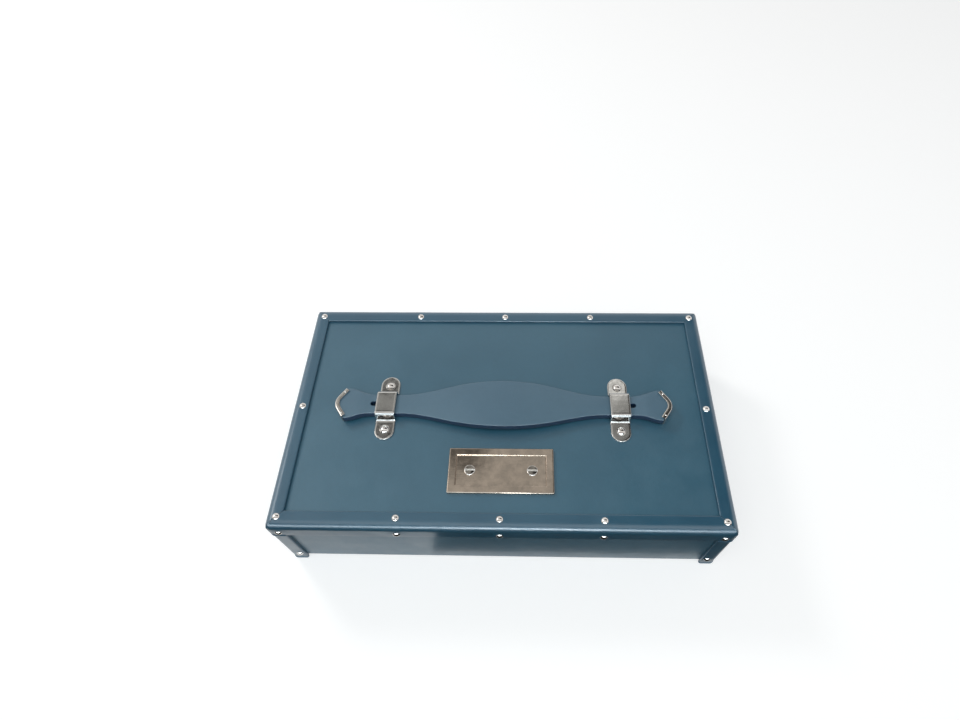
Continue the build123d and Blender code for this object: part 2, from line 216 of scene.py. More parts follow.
def glowing(name, tint, dim, bright, patch_size, spots=(), shaded=0.0):
    """A surface with soft patches of its own brightness, changed round a few spots.

    Past the slanting edge it is dimmer by the shaded part."""
    material, tree, shader = new_material(name)
    level = spread(tree, noise_field(tree, patch_size, 2.0), 0.35, 0.65, dim, bright)
    across = measured(tree, "DOT_PRODUCT", slant)
    shade = spread(tree, across, slant_start, slant_end, 0, -shaded)
    level = combined(tree, "ADD", level, shade)
    for spot, reach, change in spots:
        apart = measured(tree, "DISTANCE", spot)
        patch = spread(tree, apart, reach / 2, reach, change, 0)
        level = combined(tree, "ADD", level, patch)
    level = combined(tree, "MAXIMUM", level, darkest)
    settle(tree, shader, {"Emission Color": tint, "Emission Strength": level})
    settle(tree, shader, {"Base Color": (0, 0, 0), "Specular IOR Level": 0.0})
    return material


# The ceiling has darker places, which the label plate and the left loop mirror, and a bright one
# for the right loop: where each is, how far it reaches, and how much it changes the brightness.
ceiling_height = 1.7
ceiling_spots = (
    ((-0.21, 0.71, ceiling_height), 0.12, -0.48),
    ((-0.52, 1.05, ceiling_height), 0.14, -0.60),
    ((-0.52, 0.76, ceiling_height), 0.14, -0.60),
    ((0.38, 1.03, ceiling_height), 0.11, 0.95),
)
ceiling_paint = glowing("ceiling", (0.98, 0.98, 0.95), 0.55, 0.67, 0.4, ceiling_spots, 0.54)
skylight_glass = glowing("skylight", (1.0, 0.98, 0.95), 4, 5.5, 0.5)
wall_paint = glowing("dark_wall", (1.0, 0.9, 0.8), 0.02, 0.07, 0.8)
window_glass = glowing("window_pane", (0.85, 0.97, 1.05), 4.5, 6, 0.5)
sunlit_glass = glowing("sunlit_pane", (0.88, 0.97, 1.03), 24, 30, 0.5)
# A painted floor shadow: dark cards that only mirrors see
floor_shadow_paint = glowing("painted_floor_shadow", (1.0, 0.95, 0.9), 0.02, 0.05, 0.1)

# The two mats on the floor before the box are a painted shadow: only mirrors see them, and the box's
# front mirrors them dark where its own shadow falls on the floor. The far one, on the left, ends a
# little short of it, so that the left of its front still mirrors the pale floor
wall_y, window_y, sunlit_y = -1.7, -1.65, -1.64
skylight_height = 1.5
shadow_card_height = 1 * mm
shadows_meet_x = -0.06
near_shadow_y, far_shadow_y = -0.108, -0.137
studio_plane("studio_floor", (-6, -6, 0), (6, 6, 0), floor_paper)
cards = (
    ("ceiling", (-1.3, 0, ceiling_height), (2.8, 1.7, ceiling_height), ceiling_paint),
    ("dark_wall", (-3, wall_y, 0.02), (3, wall_y, 2.2), wall_paint),
    ("window_pane", (-1.6, window_y, 0.38), (1.6, window_y, 1.0), window_glass),
    ("sunlit_pane", (-0.05, sunlit_y, 0.5), (0.15, sunlit_y, 0.9), sunlit_glass),
    ("skylight", (-2.3, -0.3, skylight_height), (-1.35, 0.8, skylight_height), skylight_glass),
    ("near_floor_shadow", (shadows_meet_x, wall_y, shadow_card_height), (1.2, near_shadow_y, shadow_card_height), floor_shadow_paint),
    ("far_floor_shadow", (-1.2, wall_y, shadow_card_height), (shadows_meet_x, far_shadow_y, shadow_card_height), floor_shadow_paint),
)
for name, low, high, paint in cards:
    card = studio_plane(name, low, high, paint)
    card.visible_camera = False
    card.visible_diffuse = False
    card.visible_shadow = False

# ---- leather panels --------------------------------------------------------------------------
# Petrol-blue calf leather glued over the plywood of the lid's top and its four sides. Each panel
# is cut from one hide, lies a little unevenly on its board and is skived to nothing at the rim.


def skin(rings, closed=True, capped=True):
    """The corner points and faces of a surface drawn over rings that have as many points each."""
    count = len(rings[0])
    corners = [Vector(point) for ring in rings for point in ring]
    faces = []
    for start in range(0, len(corners) - count, count):
        for i in range(count if closed else count - 1):
            j = (i + 1) % count
            faces.append((start + i, start + j, start + count + j, start + count + i))
    if capped:
        faces.append(tuple(range(count)))
        faces.append(tuple(range(len(corners) - count, len(corners))))
    return corners, faces


weld_distance = 0.002 * mm


def add_piece(name, skins, materials, crisp=38):
    """A piece made of one or more skins, shaded smooth except over edges sharper than crisp."""
    shape = bmesh.new()
    for corners, faces in skins:
        points = [shape.verts.new(corner) for corner in corners]
        for face in faces:
            shape.faces.new([points[i] for i in face])
    bmesh.ops.remove_doubles(shape, verts=shape.verts, dist=weld_distance)
    bmesh.ops.recalc_face_normals(shape, faces=shape.faces)
    for face in shape.faces:
        face.smooth = True
    for edge in shape.edges:
        edge.smooth = edge.calc_face_angle(0) < math.radians(crisp)
    mesh = bpy.data.meshes.new(name)
    shape.to_mesh(mesh)
    shape.free()
    for material in materials:
        mesh.materials.append(material)
    piece = bpy.data.objects.new(name, mesh)
    scene.collection.objects.link(piece)
    return piece


def steps(start, end, step, edge_steps=()):
    """Evenly spaced values from start to end, with extra ones at given distances from both."""
    count = max(1, round(abs(end - start) / step))
    values = [start + (end - start) * i / count for i in range(count + 1)]
    sign = 1 if end > start else -1
    for distance in edge_steps:
        values += [start + sign * distance, end - sign * distance]
    return sorted(values, reverse=end < start)


def rolled(distance, radius):
    """How far a rounded edge has dropped at this distance inside the outline."""
    if distance >= radius:
        return 0
    return radius - math.sqrt(radius ** 2 - (radius - distance) ** 2)


panel_cell = 3 * mm
panel_sag = 0.18 * mm
panel_sag_length = 38 * mm
ripples_per_sag = 3.1
ripple_share = 0.3
panel_rim_radius = 0.7 * mm
panel_edge_steps = (0.1 * mm, 0.3 * mm, 0.7 * mm)


def panel_sink(point):
    """How far the hide lies below its flat face: a slow unevenness and a faster, smaller one."""
    slow = noise.noise(point / panel_sag_length)
    fast = noise.noise(point / panel_sag_length * ripples_per_sag)
    whole = 1 + ripple_share
    return panel_sag * (whole - slow - ripple_share * fast) / (2 * whole)


def leather_panel(node, facing):
    """The hide on one board, as a slab in the place of its CAD node."""
    low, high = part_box(node)
    deep = max(range(3), key=lambda axis: abs(facing[axis]))
    across, up = [axis for axis in range(3) if axis != deep]
    face, back = (high[deep], low[deep]) if facing[deep] > 0 else (low[deep], high[deep])
    heights = steps(low[up], high[up], panel_cell, panel_edge_steps)

    def place(a, b, depth):
        point = Vector((0, 0, 0))
        point[across], point[up], point[deep] = a, b, depth
        return point

    rings = []
    for a in steps(low[across], high[across], panel_cell, panel_edge_steps):
        ring = []
        for b in heights:
            point = place(a, b, face)
            from_edge = min(a - low[across], high[across] - a, b - low[up], high[up] - b)
            sink = panel_sink(point) + rolled(from_edge, panel_rim_radius)
            point[deep] -= sink * facing[deep]
            ring.append(point)
        rings.append(ring + [place(a, high[up], back), place(a, low[up], back)])
    return skin(rings)


def raised(tree, shader, height, depth, below=None):
    """Relief of this depth in metres on a shader, on top of any relief below it."""
    bump = tree.nodes.new("ShaderNodeBump")
    settle(tree, bump, {"Strength": 1.0, "Distance": depth, "Height": height})
    if below:
        settle(tree, bump, {"Normal": below})
    settle(tree, shader, {"Normal": bump.outputs["Normal"]})
    return bump.outputs["Normal"]


dye_cloud = 70 * mm
mottle_size = 4 * mm
scuff_size = 1.6 * mm
scuff_colour = (0.30, 0.37, 0.42)
wax_patch = 22 * mm
wax_ior = 1.6
pebble_size = 0.8 * mm
crease_size = 7 * mm


def leather(name, deep, pale, smooth, rough, grain_depth, crease_depth, scuffs):
    """Dyed calf: fine pebbled grain, faint creases, cloudy dye, an uneven wax and pale scuffs."""
    material, tree, shader = new_material(name)
    dye = blended(tree, spread(tree, noise_field(tree, dye_cloud), 0.35, 0.65), deep, pale)
    mottle = spread(tree, noise_field(tree, mottle_size, 6.0, 0.7), 0.3, 0.8, 0.0, 0.3)
    dye = blended(tree, mottle, dye, tuple(0.75 * part for part in deep))
    streaks = noise_field(tree, scuff_size, 5.0, 0.75, (4, 1, 1))
    marks = spread(tree, streaks, 0.82 - scuffs, 0.86 - scuffs / 2, 0.0, 0.45)
    dye = blended(tree, marks, dye, scuff_colour)
    wax = spread(tree, noise_field(tree, wax_patch, 5.0, 0.6), 0.3, 0.7, smooth, rough)
    settle(tree, shader, {"Base Color": dye, "Roughness": wax})
    settle(tree, shader, {"Specular IOR Level": 1.0, "IOR": wax_ior})
    place = tree.nodes.new("ShaderNodeTexCoord")
    pebbles = tree.nodes.new("ShaderNodeTexVoronoi")
    pebbles.feature = "SMOOTH_F1"
    settle(tree, pebbles, {"Vector": place.outputs["Object"], "Scale": 1 / pebble_size})
    settle(tree, pebbles, {"Smoothness": 0.6})
    grain = raised(tree, shader, pebbles.outputs["Distance"], -grain_depth)
    creases = noise_field(tree, crease_size, 7.0, 0.62, (1, 2.5, 1))
    raised(tree, shader, creases, crease_depth, grain)
    return material


panel_leather = leather(
    "panel_leather", (0.014, 0.086, 0.138), (0.021, 0.101, 0.156), 0.34, 0.45, 0.03 * mm, 0.08 * mm, 0
)
SIDES = {"front": (0, -1, 0), "right": (1, 0, 0), "back": (0, 1, 0), "left": (-1, 0, 0)}
TOP_AND_SIDES = {"top": (0, 0, 1), **SIDES}
for side, facing in TOP_AND_SIDES.items():
    node = f"lid_{side}_leather"
    piece = add_piece(f"{side}_panel", [leather_panel(node, facing)], [panel_leather])
    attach(piece, "lid")
    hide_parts(node)

# ---- edge bindings ---------------------------------------------------------------------------
# A strip of thick leather is bent over each top edge and mitred at the corners, and a short one
# goes down each corner under it. The studs pull them down, so they dip round every stud.

binding_bend_radius = 6 * mm
binding_corner_radius = 3.8 * mm
binding_edge_radius = 0.8 * mm
binding_cell = 2.2 * mm
binding_profile_step = 1.7 * mm
mitre_run_in = 3 * mm
mitre_shares = (0, 0.03, 0.08, 0.18, 0.34, 0.5, 0.66, 0.83, 1)
mitre_edge_radius = 0.45 * mm
mitre_gap = 0.07 * mm
inner_margin = 0.3 * mm
corner_end_radius = 0.6 * mm
corner_end_steps = (0.1 * mm, 0.3 * mm, 0.8 * mm)
stud_dip = 0.32 * mm
stud_dip_reach = 5.5 * mm
binding_waver = 0.28 * mm
binding_waver_length = 21 * mm

outer_low, strip_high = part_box("corner_binding_front_left")
outer_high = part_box("corner_binding_back_right")[1]
binding_low, binding_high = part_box("top_binding_front")
panel_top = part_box("lid_top_leather")[1].z
binding_thickness = binding_high.z - panel_top
binding_top_width = binding_high.y - binding_low.y
corner_strip_width = strip_high.x - outer_low.x
left, front, right, back = *outer_low.xy, *outer_high.xy

# Each side starts at a corner: where that is, the ways along the side and inward, and its length
RUNS = {
    "front": ((left, front), (1, 0), (0, 1), right - left),
    "right": ((right, front), (0, 1), (-1, 0), back - front),
    "back": ((right, back), (-1, 0), (0, -1), right - left),
    "left": ((left, back), (0, -1), (1, 0), back - front),
}


def clusters(node, reach=12 * mm):
    """The middles of the separate small pieces in a CAD node."""
    groups = []
    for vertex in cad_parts[node].data.vertices:
        for group in groups:
            if (vertex.co - group[0]).length < reach:
                group.append(vertex.co)
                break
        else:
            groups.append([vertex.co])
    spots = []
    for group in groups:
        bounds = [(min(co[i] for co in group), max(co[i] for co in group)) for i in range(3)]
        spots.append(Vector([(small + large) / 2 for small, large in bounds]))
    return spots


stud_dome_height = 1.9 * mm
stud_spots = {}
for side, facing in TOP_AND_SIDES.items():
    studs_low, studs_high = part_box(f"studs_{side}")
    deep = max(range(3), key=lambda axis: abs(facing[axis]))
    outermost = studs_high if facing[deep] > 0 else studs_low
    spots = []
    for spot in clusters(f"studs_{side}"):
        spot[deep] = outermost[deep] - facing[deep] * stud_dome_height
        spots.append(spot)
    stud_spots[side] = spots
all_studs = [spot for spots in stud_spots.values() for spot in spots]


def rounded(corners, radii, arc_steps=6, closed=False):
    """A flat line through corner points, with an arc of its own radius at each."""
    line = []
    count = len(corners)
    for i, (corner, radius) in enumerate(zip(corners, radii)):
        corner = Vector(corner)
        if radius == 0 or (not closed and i in (0, count - 1)):
            line.append(corner)
            continue
        back = (Vector(corners[i - 1]) - corner).normalized()
        ahead = (Vector(corners[(i + 1) % count]) - corner).normalized()
        half = back.angle(ahead) / 2
        centre = corner + (back + ahead).normalized() * radius / math.sin(half)
        first = corner + back * radius / math.tan(half) - centre
        turn = math.pi - 2 * half
        if back.x * ahead.y - back.y * ahead.x > 0:
            turn = -turn
        for k in range(arc_steps + 1):
            angle = turn * k / arc_steps
            cos, sin = math.cos(angle), math.sin(angle)
            line.append(centre + Vector((first.x * cos - first.y * sin, first.x * sin + first.y * cos)))
    return line


def divided(line, step, closed=False):
    """The same line with its long runs divided."""
    points = []
    ends = line[1:] + line[:1] if closed else line[1:]
    for start, end in zip(line, ends):
        count = max(1, round((end - start).length / step))
        points += [start.lerp(end, i / count) for i in range(count)]
    return points if closed else points + [line[-1]]


def facings(line, closed=False):
    """The direction that each point of a line faces, to the left of its run."""
    behind = line[-1:] if closed else line[:1]
    ahead = line[:1] if closed else line[-1:]
    runs = [b - a for a, b in zip(behind + line[:-1], line[1:] + ahead)]
    return [Vector((-run.y, run.x)).normalized() for run in runs]


def binding_sink(point):
    """How far a binding lies below its plain shape: dips at the studs, and wavers between them."""
    near = sum(math.exp(-((point - spot).length / stud_dip_reach) ** 2) for spot in all_studs)
    waver = noise.noise(point / binding_waver_length)
    return stud_dip * near + binding_waver * (1 - waver) / 4


def near_corner(inset, share):
    """A point by the mitre of a line at this inset from the outer face, and the way it faces.

    The line runs straight and then half-way round the corner: share is 0 at the mitre."""
    arc_radius = max(binding_corner_radius - inset, 0)
    arc = arc_radius * math.pi / 4
    length = share * (mitre_run_in + arc)
    if length >= arc:
        along = max(inset, binding_corner_radius) + length - arc
        return Vector((along, inset)), Vector((0, -1))
    turn = (arc - length) / arc_radius
    facing = Vector((-math.sin(turn), -math.cos(turn)))
    centre = Vector((binding_corner_radius, binding_corner_radius))
    return centre + arc_radius * facing, facing


def set_on_side(side, along, inward, height):
    """A point of one side's binding in the box's own frame."""
    corner, along_way, inward_way, run = RUNS[side]
    flat = Vector(corner) + along * Vector(along_way) + inward * Vector(inward_way)
    return Vector((flat.x, flat.y, height))


def way_on_side(side, along, inward):
    """A direction of one side in the box's own frame."""
    return set_on_side(side, along, inward, 0) - set_on_side(side, 0, 0, 0)


def strip_outline(corners, bend_radius):
    """The points round a bent strip's section, each with the way it faces."""
    radii = (0, binding_edge_radius, bend_radius, binding_edge_radius, 0, 0)
    outline = rounded(corners, radii, closed=True)
    outline = divided(outline, binding_profile_step, closed=True)
    return list(zip(outline, facings(outline, closed=True)))


def top_binding(side):
    """The strip bent over one top edge."""
    run = RUNS[side][3]
    width, thick = binding_top_width, binding_thickness
    bottom, top = binding_low.z, binding_high.z
    corners = (
        (width, panel_top), (width, top), (0, top),
        (0, bottom), (thick, bottom), (thick, panel_top),
    )
    outline = strip_outline(corners, binding_bend_radius)
    middle_steps = round((run - 2 * binding_top_width) / binding_cell)
    stations = [(share, 0) for share in mitre_shares]
    stations += [(1, i / middle_steps) for i in range(1, middle_steps)]
    stations += [(share, 1) for share in reversed(mitre_shares)]
    rings = []
    for share, middle in stations:
        ring = []
        for (inset, height), way in outline:
            flat, facing = near_corner(inset, share)
            along = flat.x + (run - 2 * flat.x) * middle
            if middle == 1:
                facing = Vector((-facing.x, facing.y))
            point = set_on_side(side, along, flat.y, height)
            outward = way_on_side(side, *facing) * -way.x + Vector((0, 0, way.y))
            shows = height > panel_top + inner_margin or inset < binding_thickness - inner_margin
            if shows:
                from_mitre = share * mitre_run_in
                sink = binding_sink(point) + rolled(from_mitre, mitre_edge_radius)
                point -= outward * sink
            if share == 0:
                shift = mitre_gap if middle == 0 else -mitre_gap
                point += way_on_side(side, shift, 0)
            ring.append(point)
        rings.append(ring)
    return skin(rings)


def corner_binding(side):
    """The strip down the corner where a side starts."""
    width, thick = corner_strip_width, binding_thickness
    corners = ((width, thick), (width, 0), (0, 0), (0, width), (thick, width), (thick, thick))
    outline = strip_outline(corners, binding_corner_radius)
    bottom, top = outer_low.z, binding_low.z
    rings = []
    for height in steps(bottom, top, binding_cell, corner_end_steps):
        ring = []
        for (along, inward), way in outline:
            point = set_on_side(side, along, inward, height)
            outward = way_on_side(side, *way)
            if min(along, inward) < binding_thickness - inner_margin:
                from_end = min(height - bottom, top - height)
                sink = binding_sink(point) + rolled(from_end, corner_end_radius)
                point += outward * sink
            ring.append(point)
        rings.append(ring)
    return skin(rings)


binding_leather = leather(
    "binding_leather", (0.004, 0.062, 0.112), (0.007, 0.077, 0.132), 0.285, 0.36, 0.02 * mm, 0.07 * mm, 0
)
CORNERS = {
    "front": "corner_binding_front_left",
    "right": "corner_binding_front_right",
    "back": "corner_binding_back_right",
    "left": "corner_binding_back_left",
}
for side in RUNS:
    strip = add_piece(f"{side}_top_strip", [top_binding(side)], [binding_leather])
    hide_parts(f"top_binding_{side}")
    corner_strip = add_piece(f"{side}_corner_strip", [corner_binding(side)], [binding_leather])
    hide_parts(CORNERS[side])
    for piece in (strip, corner_strip):
        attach(piece, "lid")

# ---- domed studs -----------------------------------------------------------------------------
# Nickel-plated dome-headed nails, driven through the bindings into the plywood. Each head has a
# thin rim that is pressed into the leather.

stud_radius = 3.2 * mm
stud_rim = 0.18 * mm
stud_sunk = 0.45 * mm
stud_segments = 36


def dome_profile(radius, height, rim, sunk, arc_steps=9):
    """Radius and height down a domed head: its cap, its rounded rim, and the edge in the leather."""
    inner = radius - rim
    ball = (inner ** 2 + height ** 2) / (2 * height)
    widest = math.asin(inner / ball)
    profile = []
    for k in range(arc_steps + 1):
        angle = widest * k / arc_steps
        profile.append((ball * math.sin(angle), height - ball * (1 - math.cos(angle))))
    profile += [(radius - rim * 0.3, rim * 0.05), (radius, -rim * 0.5), (radius, -sunk)]
    return profile


def turned(profile, spot, facing, segments=stud_segments):
    """A turned shape about an axis through a spot: its profile has radius and height."""
    turn = Vector((0, 0, 1)).rotation_difference(Vector(facing))
    rings = []
    for radius, height in profile:
        ring = []
        for k in range(segments):
            angle = math.tau * k / segments
            flat = Vector((radius * math.cos(angle), radius * math.sin(angle), height))
            ring.append(spot + turn @ flat)
        rings.append(ring)
    corners, faces = skin(rings, capped=False)
    faces.append(tuple(range(len(corners) - segments, len(corners))))
    return corners, faces


cloud_size = 7 * mm
smear_size = 3 * mm
polish_size = 0.8 * mm


def nickel(name, pale, dull, smooth, rough, dent_size, dent_depth, line_depth, brushed=(1, 1, 1)):
    """Polished nickel plate: warm, a little cloudy, softly dented, with fine polishing lines."""
    material, tree, shader = new_material(name)
    cloud = spread(tree, noise_field(tree, cloud_size, 4.0, 0.6), 0.36, 0.64)
    plate = blended(tree, cloud, pale, dull)
    smear = spread(tree, noise_field(tree, smear_size, 5.0, 0.65), 0.3, 0.7, smooth, rough)
    settle(tree, shader, {"Metallic": 1.0, "Base Color": plate, "Roughness": smear})
    dents = raised(tree, shader, noise_field(tree, dent_size, 2.0, 0.5), dent_depth)
    raised(tree, shader, noise_field(tree, polish_size, 3.0, 0.6, brushed), line_depth, dents)
    return material


stud_nickel = nickel(
    "stud_nickel", (0.80, 0.78, 0.75), (0.64, 0.60, 0.56), 0.06, 0.13, 3 * mm, 0.06 * mm, 0.003 * mm
)
stud_profile = dome_profile(stud_radius, stud_dome_height, stud_rim, stud_sunk)
for side, facing in TOP_AND_SIDES.items():
    heads = [turned(stud_profile, spot, facing) for spot in stud_spots[side]]
    piece = add_piece(f"{side}_stud_heads", heads, [stud_nickel])
    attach(piece, "lid")
    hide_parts(f"studs_{side}")

# ---- handle strap ----------------------------------------------------------------------------
# Layers of leather, glued, cut to shape and painted navy round the edge. The strap is wide where
# the hand holds it and narrow under the loops, and has a slot near each end for a hidden pin. It
# is made as two halves that meet in the middle, because each end slides under its own loop.

strap_thickness = 7 * mm
strap_middle_half = 21.6 * mm
strap_neck_half = 8.9 * mm
strap_neck_start = 88 * mm
strap_neck_end = 106.9 * mm
strap_flare_half = 14.3 * mm
strap_flare_end = 133 * mm
strap_flat_start = 123 * mm
strap_middle_reach = 42 * mm
strap_neck_reach = 30 * mm
strap_flare_reaches = (15 * mm, 8 * mm)
strap_bow_reach = 34 * mm
strap_end_reach = 6 * mm
strap_point = 143 * mm
strap_point_radius = 10 * mm
strap_slot_start = 102 * mm
strap_slot_end = 110 * mm
strap_slot_half = 2.0 * mm
strap_bow = 3.5 * mm
strap_end_rise = 1.5 * mm
strap_edge_radius = 0.55 * mm
strap_slot_edge_radius = 0.4 * mm
strap_crown = 0.45 * mm
strap_low, strap_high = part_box("handle_strap")
strap_lean = math.atan2(strap_flare_half, strap_point - strap_flare_end)


def eased(start, end, start_reach, end_reach, across):
    """The height at a place across an S-curve that leaves and arrives level."""
    if across <= start[0]:
        return start[1]
    if across >= end[0]:
        return end[1]
    a, b, c, d = start[0], start[0] + start_reach, end[0] - end_reach, end[0]
    low, high = 0.0, 1.0
    for _ in range(30):
        t = (low + high) / 2
        s = 1 - t
        reached = s ** 3 * a + 3 * s * s * t * b + 3 * s * t * t * c + t ** 3 * d
        if reached < across:
            low = t
        else:
            high = t
    s = 1 - t
    return (s ** 3 + 3 * s * s * t) * start[1] + (3 * s * t * t + t ** 3) * end[1]


def strap_half_width(x):
    """Half the strap's width: wide in the middle, narrow under the loop, flared before the point."""
    if x < strap_neck_end:
        middle, neck = (0, strap_middle_half), (strap_neck_start, strap_neck_half)
        return eased(middle, neck, strap_middle_reach, strap_neck_reach, x)
    neck, flare = (strap_neck_end, strap_neck_half), (strap_flare_end, strap_flare_half)
    return eased(neck, flare, *strap_flare_reaches, x)


def strap_underside(x):
    """The height of the strap's underside: bowed up in the middle, and a little at the end."""
    loop_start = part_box("handle_loop_right")[0].x
    if x < loop_start:
        start, end = (0, strap_low.z + strap_bow), (loop_start, strap_low.z)
        return eased(start, end, strap_bow_reach, strap_bow_reach, x)
    end = (strap_flat_start, strap_low.z + strap_end_rise)
    return eased((strap_neck_end, strap_low.z), end, strap_end_reach, strap_end_reach, x)


def slot_half_width(x):
    """Half the width of the slot for the pin: 0 where there is none."""
    past = max(strap_slot_start - x, x - strap_slot_end, 0)
    return math.sqrt(max(strap_slot_half ** 2 - past ** 2, 0))


def strap_tip_x(y):
    """How far the pointed end reaches at a distance from the middle line."""
    if abs(y) > strap_point_radius * math.cos(strap_lean):
        return strap_point - abs(y) / math.tan(strap_lean)
    centre = strap_point - strap_point_radius / math.sin(strap_lean)
    return centre + math.sqrt(strap_point_radius ** 2 - y ** 2)


slot_step = 1.3 * mm
strap_step = 2.6 * mm
flare_step = 1.5 * mm
quarter = [math.radians(angle) for angle in range(0, 91, 15)]


def strap_stations():
    """Places along half a strap, close together round the slot."""
    slot = [strap_slot_start - strap_slot_half * math.cos(angle) for angle in quarter]
    slot += [strap_slot_end + strap_slot_half * math.sin(angle) for angle in quarter[1:]]
    slot += steps(strap_slot_start, strap_slot_end, slot_step)[1:]
    before = steps(0, slot[0], strap_step)[:-1]
    after = steps(max(slot), strap_flare_end, flare_step)[1:]
    return sorted(before + slot + after)


row_shares = (0, 0.015, 0.05, 0.12, 0.28, 0.44, 0.6, 0.76, 0.87, 0.93, 0.965, 0.985, 0.995, 1)
tip_shares = (0.15, 0.35, 0.55, 0.72, 0.85, 0.93, 0.97, 0.99, 1)


def strap_half(x_sign):
    """Half a strap: columns of points over its top and back along its underside."""
    columns = [(x, 0) for x in strap_stations()]
    columns += [(strap_flare_end, share) for share in tip_shares]
    corners, faces = [], []
    for y_sign in (1, -1):
        first = len(corners)
        count = 2 * len(row_shares)
        for x, tip_share in columns:
            edge = strap_half_width(x)
            slot = slot_half_width(x)
            top, under = [], []
            for share in row_shares:
                y = slot + (edge - slot) * share
                reach = strap_tip_x(y)
                place = x + (reach - x) * tip_share
                from_edge = edge - y
                if tip_share:
                    from_edge = min(from_edge, (reach - place) * math.sin(strap_lean))
                drop = rolled(from_edge, strap_edge_radius)
                if slot:
                    drop += rolled(y - slot, strap_slot_edge_radius)
                low = strap_underside(place)
                crown = strap_crown * (y / edge) ** 2
                top.append((x_sign * place, y_sign * y, low + strap_thickness - drop - crown))
                under.append((x_sign * place, y_sign * y, low + drop))
            corners += [Vector(point) for point in top + under[::-1]]
        for column in range(len(columns) - 1):
            start = first + column * count
            in_slot = slot_half_width(columns[column][0]) + slot_half_width(columns[column + 1][0]) > 0
            for i in range(count if in_slot and not columns[column + 1][1] else count - 1):
                j = (i + 1) % count
                faces.append((start + i, start + j, start + count + j, start + count + i))
        end = len(corners) - count
        for i in range(count // 2 - 1):
            j = count - 1 - i
            faces.append((end + i, end + i + 1, end + j - 1, end + j))
    return corners, faces


handle_leather = leather(
    "handle_leather", (0.034, 0.099, 0.153), (0.046, 0.115, 0.169), 0.40, 0.54, 0.03 * mm, 0.09 * mm, 0.03
)


coat_patch = 12 * mm
polish_patch = 5 * mm
layer_height = 1.4 * mm
layer_depth = 0.05 * mm


def painted_edge():
    """Navy edge paint: several thin coats, smooth and faintly ribbed along the layers."""
    material, tree, shader = new_material("edge_paint")
    coat = spread(tree, noise_field(tree, coat_patch), 0.3, 0.7)
    paint = blended(tree, coat, (0.011, 0.036, 0.082), (0.017, 0.048, 0.104))
    polish = spread(tree, noise_field(tree, polish_patch), 0.3, 0.7, 0.32, 0.5)
    settle(tree, shader, {"Base Color": paint, "Roughness": polish})
    raised(tree, shader, noise_field(tree, layer_height, 3.0, 0.5, (8, 8, 1)), layer_depth)
    return material


edge_paint = painted_edge()
painted_tilt = 0.55
for side, x_sign in (("left", -1), ("right", 1)):
    piece = add_piece(f"strap_{side}_half", [strap_half(x_sign)], [handle_leather, edge_paint])
    for face in piece.data.polygons:
        if abs(face.normal.z) < painted_tilt:
            face.material_index = 1
    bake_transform(piece)
    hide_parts("handle_strap")

# ---- channels on the handle's ends -----------------------------------------------------------
# A nickel channel is bent into a V, pushed over each pointed end of the strap and held by small
# brads near its own ends.

tip_metal = 0.8 * mm
tip_grip = 2.8 * mm
tip_clearance = 0.3 * mm
tip_end_margin = 1.4 * mm
tip_outer_radius = 1.3 * mm
tip_lip_radius = 0.3 * mm
tip_hollow_radius = 0.5 * mm
tip_step = 0.7 * mm
brad_radius = 0.85 * mm
brad_height = 0.45 * mm
brad_rim = 0.15 * mm
brad_sunk = 0.2 * mm
brad_segments = 20
brad_from_end = 3.2 * mm

soft_nickel = nickel(
    "soft_nickel", (0.60, 0.58, 0.55), (0.50, 0.47, 0.43), 0.12, 0.20, 4 * mm, 0.06 * mm, 0.003 * mm
)


def tip_path():
    """The line of the channel seen from above, on the right-hand end, from back to front."""
    corner = Vector((strap_flare_end, strap_flare_half))
    point = Vector((strap_point, 0))
    start = corner + (point - corner).normalized() * tip_end_margin
    line = rounded((start, point, (start.x, -start.y)), (0, strap_point_radius, 0), arc_steps=14)
    return divided(line, tip_step)


def tip_section():
    """Across the channel: outward from the strap's edge, and up from the strap's middle."""
    inner = strap_thickness / 2 + tip_clearance
    outer = inner + tip_metal
    back, web = -tip_grip, tip_clearance + tip_metal
    corners = (
        (back, -outer), (web, -outer), (web, outer), (back, outer),
        (back, inner), (tip_clearance, inner), (tip_clearance, -inner), (back, -inner),
    )
    lip, bend, hollow = tip_lip_radius, tip_outer_radius, tip_hollow_radius
    return rounded(corners, (lip, bend, bend, lip, lip, hollow, hollow, lip), 4, closed=True)


for side, x_sign in (("left", -1), ("right", 1)):
    low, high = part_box(f"handle_tip_{side}")
    middle = (low.z + high.z) / 2
    path = tip_path()
    rings, brads = [], []
    for spot, outward in zip(path, facings(path)):
        ring = []
        for out, up in tip_section():
            flat = spot + outward * out
            ring.append((x_sign * flat.x, flat.y, middle + up))
        rings.append(ring)
    piece = add_piece(f"{side}_tip_channel", [skin(rings)], [soft_nickel])
    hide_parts(f"handle_tip_{side}")
    grip_middle = (tip_clearance + tip_metal - tip_grip) / 2
    along = (path[1] - path[0]).normalized()
    outward = Vector((-along.y, along.x))
    brad = path[0] + along * brad_from_end + outward * grip_middle
    for y in (brad.y, -brad.y):
        spot = Vector((x_sign * brad.x, y, high.z))
        profile = dome_profile(brad_radius, brad_height, brad_rim, brad_sunk, 5)
        brads.append(turned(profile, spot, (0, 0, 1), brad_segments))
    brad_piece = add_piece(f"{side}_tip_brads", brads, [stud_nickel])
    for part in (piece, brad_piece):
        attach(part, f"handle_{side}_end")

# ---- saddle loops ----------------------------------------------------------------------------
# A strip of nickel-plated brass is bent over the strap at each side, with a round-ended tab on
# both sides of it, and nailed down through the tabs. The strap slides under it on a hidden pin.

